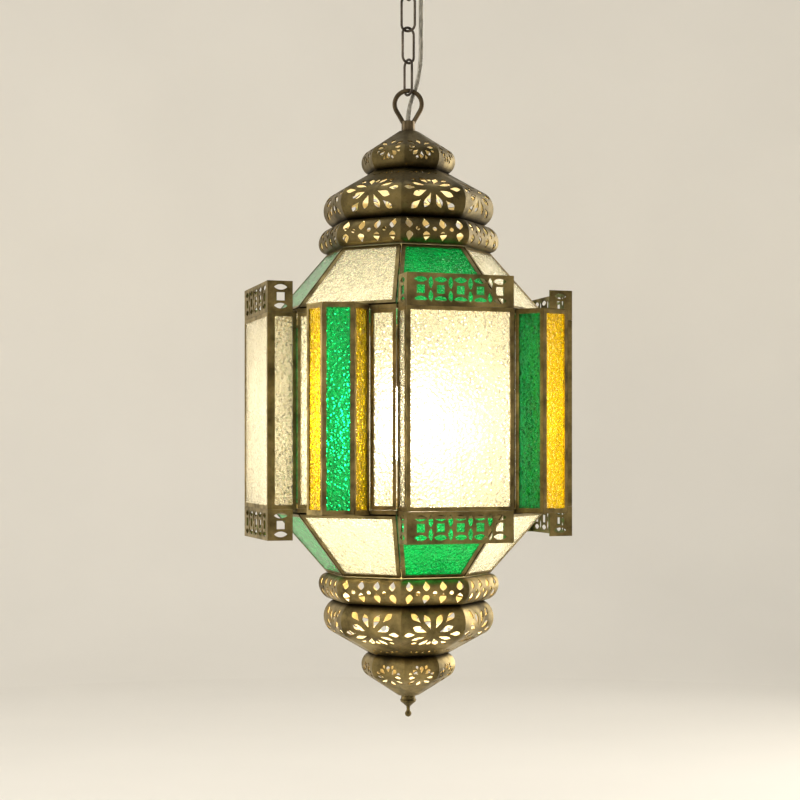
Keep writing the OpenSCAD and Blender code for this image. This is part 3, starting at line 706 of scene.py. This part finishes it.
class LANTERN_OT_pierced_tops(Operator):
    """Make the pierced rolls, domes and caps above and below the body"""
    bl_idname = "lantern.pierced_tops"
    bl_label = "Pierced Tops"

    def execute(self, context):
        tiers = settings().tiers
        # The upper tiers take a darker copy of the lower tiers' brass: painted shade
        shaded_brass = patinated_metal("pierced_bronze", scaled(tiers.colour, 0.5), scaled(tiers.patina, 0.5))
        brass = patinated_metal("pierced_brass", scaled(tiers.colour, 0.9), scaled(tiers.patina, 0.8))
        lit_inner = raw_brass()
        for kind, outline, holes in TIERS:
            low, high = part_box(f"upper_{kind}")
            piece = pierced_tier(f"upper_{kind}", outline(high.z - low.z), holes, low.z, 1, shaded_brass, lit_inner)
            low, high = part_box(f"lower_{kind}")
            piece = pierced_tier(f"lower_{kind}", outline(high.z - low.z), holes, high.z, -1, brass, lit_inner)
        return {"FINISHED"}


# ------------------------------------------------------------------ finishes of the frame's own pieces

class LANTERN_OT_metal_finishes(Operator):
    """Give the cames, galleries, chain, canopy and fittings their aged metals"""
    bl_idname = "lantern.metal_finishes"
    bl_label = "Metal Finishes"

    def execute(self, context):
        brass = tuple(settings().tiers.colour)
        patina = tuple(settings().tiers.patina)
        finish_nodes(CAME_NODES, patinated_metal("came_brass", scaled(brass, 0.8), scaled(patina, 0.95),
                                                 grain=0.004, rough=(0.34, 0.62), cavity=0.003))
        finish_nodes(GALLERY_NODES, patinated_metal("gallery_brass", scaled(brass, 0.85), scaled(patina, 0.9),
                                                    grain=0.005))
        finish_nodes(FITTING_NODES, patinated_metal("fitting_bronze", scaled(brass, 0.6), scaled(patina, 0.7),
                                                    grain=0.003))
        finish_nodes(BRONZE_NODES, patinated_metal("dark_bronze", (0.16, 0.12, 0.07), (0.055, 0.042, 0.026),
                                                   grain=0.005, rough=(0.3, 0.55)))
        finish_nodes(CHAIN_NODES, patinated_metal("chain_steel", (0.15, 0.125, 0.1), (0.05, 0.04, 0.032),
                                                  grain=0.0025, rough=(0.25, 0.5)))
        finish_nodes(STEEL_NODES, patinated_metal("zinc_steel", (0.6, 0.59, 0.56), (0.38, 0.37, 0.35),
                                                  grain=0.004, rough=(0.28, 0.45)))
        finish_nodes(["cord_bush"], moulded_plastic("black_plastic", (0.02, 0.02, 0.02), 0.45))
        finish_nodes(["lamp_holder"], moulded_plastic("bakelite", (0.045, 0.032, 0.025), 0.3))
        finish_nodes(["bulb_cap"], patinated_metal("cap_aluminium", (0.8, 0.79, 0.76), (0.6, 0.58, 0.54),
                                                   grain=0.003, rough=(0.22, 0.38)))
        return {"FINISHED"}


class LANTERN_OT_glass_finishes(Operator):
    """Give the panes their pebbled clear, green and amber glass"""
    bl_idname = "lantern.glass_finishes"
    bl_label = "Glass Finishes"

    def execute(self, context):
        glass = settings().glass
        for kind, streak in (("clear", 0.08), ("green", 0.26), ("amber", 0.2)):
            tint = tuple(getattr(glass, kind))
            finish_nodes(GLASS_NODES[kind], pebbled_glass(f"{kind}_glass", tint, glass.pebble, streak))
        return {"FINISHED"}


class LANTERN_OT_lamp(Operator):
    """Light the frosted bulb"""
    bl_idname = "lantern.lamp"
    bl_label = "Lamp"

    def execute(self, context):
        lamp = settings().lamp
        f = Finish("lit_bulb_glass")
        frost = f.spread(f.noise(0.004, 3, 0.6), 0.3, 0.7, 0, 1)
        f.link(f.mix(frost, (0.9, 0.86, 0.76), (1.0, 0.97, 0.9)), f.shader.inputs["Base Color"])
        f.link(f.spread(frost, 0, 1, 0.3, 0.5), f.shader.inputs["Roughness"])
        f.link(f.bump(frost, 0.2, 0.0001), f.shader.inputs["Normal"])
        f.set(Emission_Color=(*lamp.colour, 1), Emission_Strength=lamp.glow)
        f.let_lamps_through((1, 1, 1))
        finish_nodes(["bulb_glass"], f.material)
        low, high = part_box("bulb_glass")
        light = bpy.data.lights.new("lamp_light", "POINT")
        light.energy = lamp.watts
        light.color = lamp.colour
        globe = (high.x - low.x) / 2
        light.shadow_soft_size = globe * 0.8
        spot = bpy.data.objects.new("lamp_light", light)
        spot.location = (0, 0, low.z + globe)
        context.scene.collection.objects.link(spot)
        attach(spot, "bulb")
        return {"FINISHED"}


# ------------------------------------------------------------------ studio

class LANTERN_OT_camera(Operator):
    """Set up the camera, slightly below the body's middle"""
    bl_idname = "lantern.camera"
    bl_label = "Camera"

    def execute(self, context):
        studio = settings().studio
        camera = bpy.data.cameras.new("camera")
        camera.lens = studio.lens
        camera.sensor_width = 36
        camera.shift_x = -0.01025
        camera.shift_y = 0.072
        camera.clip_end = 50
        holder = bpy.data.objects.new("camera", camera)
        holder.location = (studio.distance * math.sin(studio.azimuth),
                           -studio.distance * math.cos(studio.azimuth), MIDDLE - studio.below)
        holder.rotation_euler = (math.pi / 2, 0, studio.azimuth)
        context.scene.collection.objects.link(holder)
        context.scene.camera = holder
        return {"FINISHED"}


def area_light(name, place, aim, size, power, colour):
    """A large soft light aimed at a point, which the camera doesn't see."""
    light = bpy.data.lights.new(name, "AREA")
    light.shape = "RECTANGLE"
    light.size, light.size_y = size
    light.energy = power
    light.color = colour
    holder = bpy.data.objects.new(name, light)
    holder.location = place
    holder.rotation_euler = (Vector(aim) - Vector(place)).to_track_quat("-Z", "Y").to_euler()
    holder.visible_camera = False
    bpy.context.scene.collection.objects.link(holder)


class LANTERN_OT_studio(Operator):
    """Make the pale floor, its curved backdrop and the soft lights"""
    bl_idname = "lantern.studio"
    bl_label = "Studio"

    def execute(self, context):
        studio = settings().studio
        radius, cove, wall_top, sides = 4.0, 1.2, 4.5, 96
        floor_z = CAD_LOW.z - 0.35
        outline = [(0, 0), (radius - cove, 0)]
        outline += [(radius - cove + cove * math.sin(a), cove - cove * math.cos(a))
                    for a in (math.pi / 2 * k / 12 for k in range(1, 13))]
        outline.append((radius, wall_top))
        bm = bmesh.new()
        rings = [[bm.verts.new((r * math.cos(a), r * math.sin(a), floor_z + z)) for a in
                  (2 * math.pi * k / sides for k in range(sides))] for r, z in outline[1:]]
        bm.faces.new(rings[0])
        for one, two in zip(rings, rings[1:]):
            for k in range(sides):
                bm.faces.new((one[k], one[(k + 1) % sides], two[(k + 1) % sides], two[k]))
        floor = link_mesh("studio_floor", bm, None)
        f = Finish("studio_paint")
        mottle = f.spread(f.noise(0.6, 3, 0.5), 0.3, 0.7, 0, 1)
        paint_tone = f.mix(mottle, scaled(studio.backdrop, 0.98), scaled(studio.backdrop, 1.02))
        f.link(paint_tone, f.shader.inputs["Base Color"])
        f.set(Roughness=0.9, Specular_IOR_Level=0.2)
        paint(floor, f.material)

        world = bpy.data.worlds.new("studio_air")
        world.use_nodes = True
        air = world.node_tree.nodes["Background"]
        air.inputs["Color"].default_value = (0.9, 0.92, 0.95, 1)
        air.inputs["Strength"].default_value = 0.42
        context.scene.world = world
        context.scene.view_settings.view_transform = "Standard"

        middle = (0, 0, MIDDLE)
        area_light("left_light", (-2.2, 0.7, MIDDLE + 0.5), middle, (1.4, 2.0), studio.key, (1.0, 0.96, 0.88))
        area_light("right_light", (2.2, 0.5, MIDDLE + 0.4), middle, (1.4, 2.0), studio.key * 1.1,
                   (1.0, 0.95, 0.86))
        area_light("wall_light", (0, 0.4, MIDDLE + 2.1), (0, 4, MIDDLE - 0.3), (3.0, 1.0), studio.key * 0.95,
                   (1.0, 0.97, 0.92))
        area_light("front_light", (-1.6, -2.4, MIDDLE + 1.7), middle, (1.4, 1.0), studio.key * 0.25,
                   (1.0, 0.98, 0.95))
        return {"FINISHED"}


# ------------------------------------------------------------------ panel and registration

class LANTERN_PT_panel(Panel):
    """Lists the lantern's pieces, finishes and studio"""
    bl_idname = "LANTERN_PT_panel"
    bl_label = "Lantern"
    bl_space_type = "VIEW_3D"
    bl_region_type = "UI"
    bl_category = "Lantern"

    def draw(self, context):
        for operator in OPERATORS:
            self.layout.operator(operator.bl_idname)
        for group in ("cord", "tiers", "glass", "lamp", "studio"):
            chosen = getattr(context.scene.lantern, group)
            box = self.layout.box()
            box.label(text=group.title())
            for name in chosen.__annotations__:
                box.prop(chosen, name)


GROUPS = (CordSettings, TierSettings, GlassSettings, LampSettings, StudioSettings, LanternSettings)
OPERATORS = (LANTERN_OT_camera, LANTERN_OT_supply_cord, LANTERN_OT_pierced_tops, LANTERN_OT_metal_finishes,
             LANTERN_OT_glass_finishes, LANTERN_OT_lamp, LANTERN_OT_studio)


def register():
    for item in (*GROUPS, *OPERATORS, LANTERN_PT_panel):
        bpy.utils.register_class(item)
    bpy.types.Scene.lantern = PointerProperty(name="Lantern", description="The lantern's settings",
                                              type=LanternSettings)


def unregister():
    del bpy.types.Scene.lantern
    for item in reversed((*GROUPS, *OPERATORS, LANTERN_PT_panel)):
        bpy.utils.unregister_class(item)


def main():
    register()
    bpy.ops.lantern.camera()
    bpy.ops.lantern.supply_cord()
    bpy.ops.lantern.pierced_tops()
    bpy.ops.lantern.metal_finishes()
    bpy.ops.lantern.glass_finishes()
    bpy.ops.lantern.lamp()
    bpy.ops.lantern.studio()


if __name__ == "__main__":
    main()
